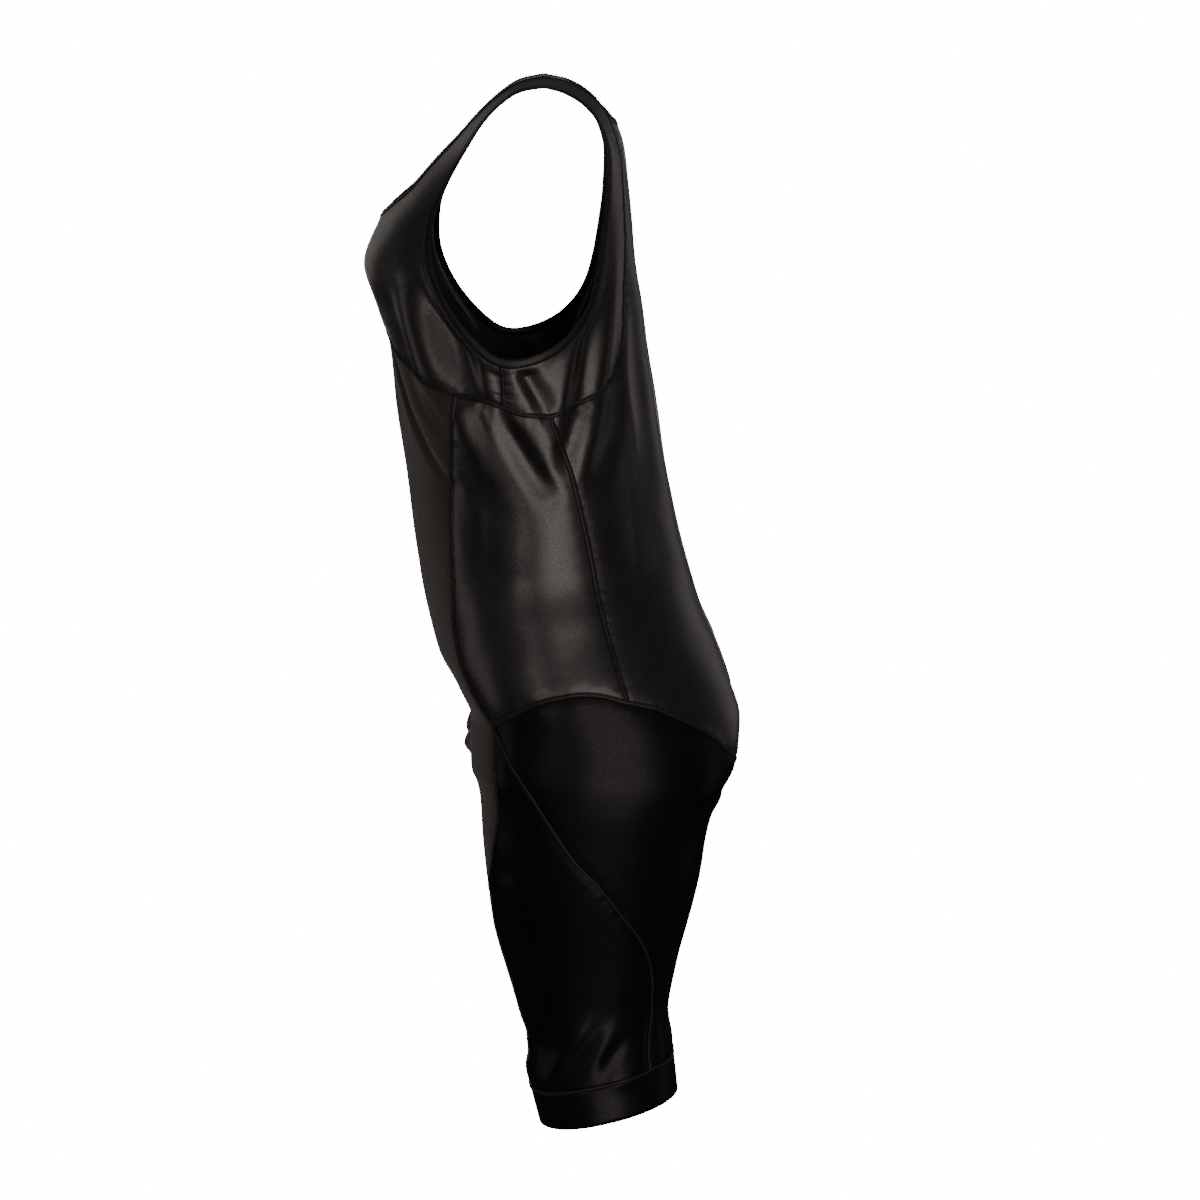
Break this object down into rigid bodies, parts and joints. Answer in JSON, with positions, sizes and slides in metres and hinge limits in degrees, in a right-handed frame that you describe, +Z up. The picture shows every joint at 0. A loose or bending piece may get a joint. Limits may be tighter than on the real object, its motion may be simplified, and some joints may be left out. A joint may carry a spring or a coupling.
{
  "type": "sleeveless skinsuit",
  "caption": "Sleeveless one-piece skinsuit with short legs, wide shoulder straps, a shiny coated cloth body and a matte front inset, hollow as worn",
  "frame": {"origin": "middle of the shoulder line, between the tops of the two straps", "axes": "+Z up, front towards -Y, the wearer's left towards +X"},
  "size_m": [0.349, 0.3168, 0.881],
  "materials": {
    "coated_cloth": "smooth coated stretch cloth, soft semi-gloss",
    "leg_cloth": "smooth coated stretch cloth, satin",
    "matte_cloth": "matte warm black stretch knit",
    "binding_cloth": "folded coated cloth, satin, twin-needle stitched"
  },
  "bodies": {
    "root": {"yoke": "coated_cloth", "back_panel": "coated_cloth", "side_panel_left": "coated_cloth", "side_panel_right": "coated_cloth", "front_panel": "matte_cloth", "thigh_panel_left": "leg_cloth", "thigh_panel_right": "leg_cloth", "leg_panel_left": "leg_cloth", "leg_panel_right": "leg_cloth", "hem_band_left": "leg_cloth", "hem_band_right": "leg_cloth", "armhole_binding_left": "binding_cloth", "armhole_binding_right": "binding_cloth", "neck_binding": "binding_cloth"}
  },
  "joints": []
}
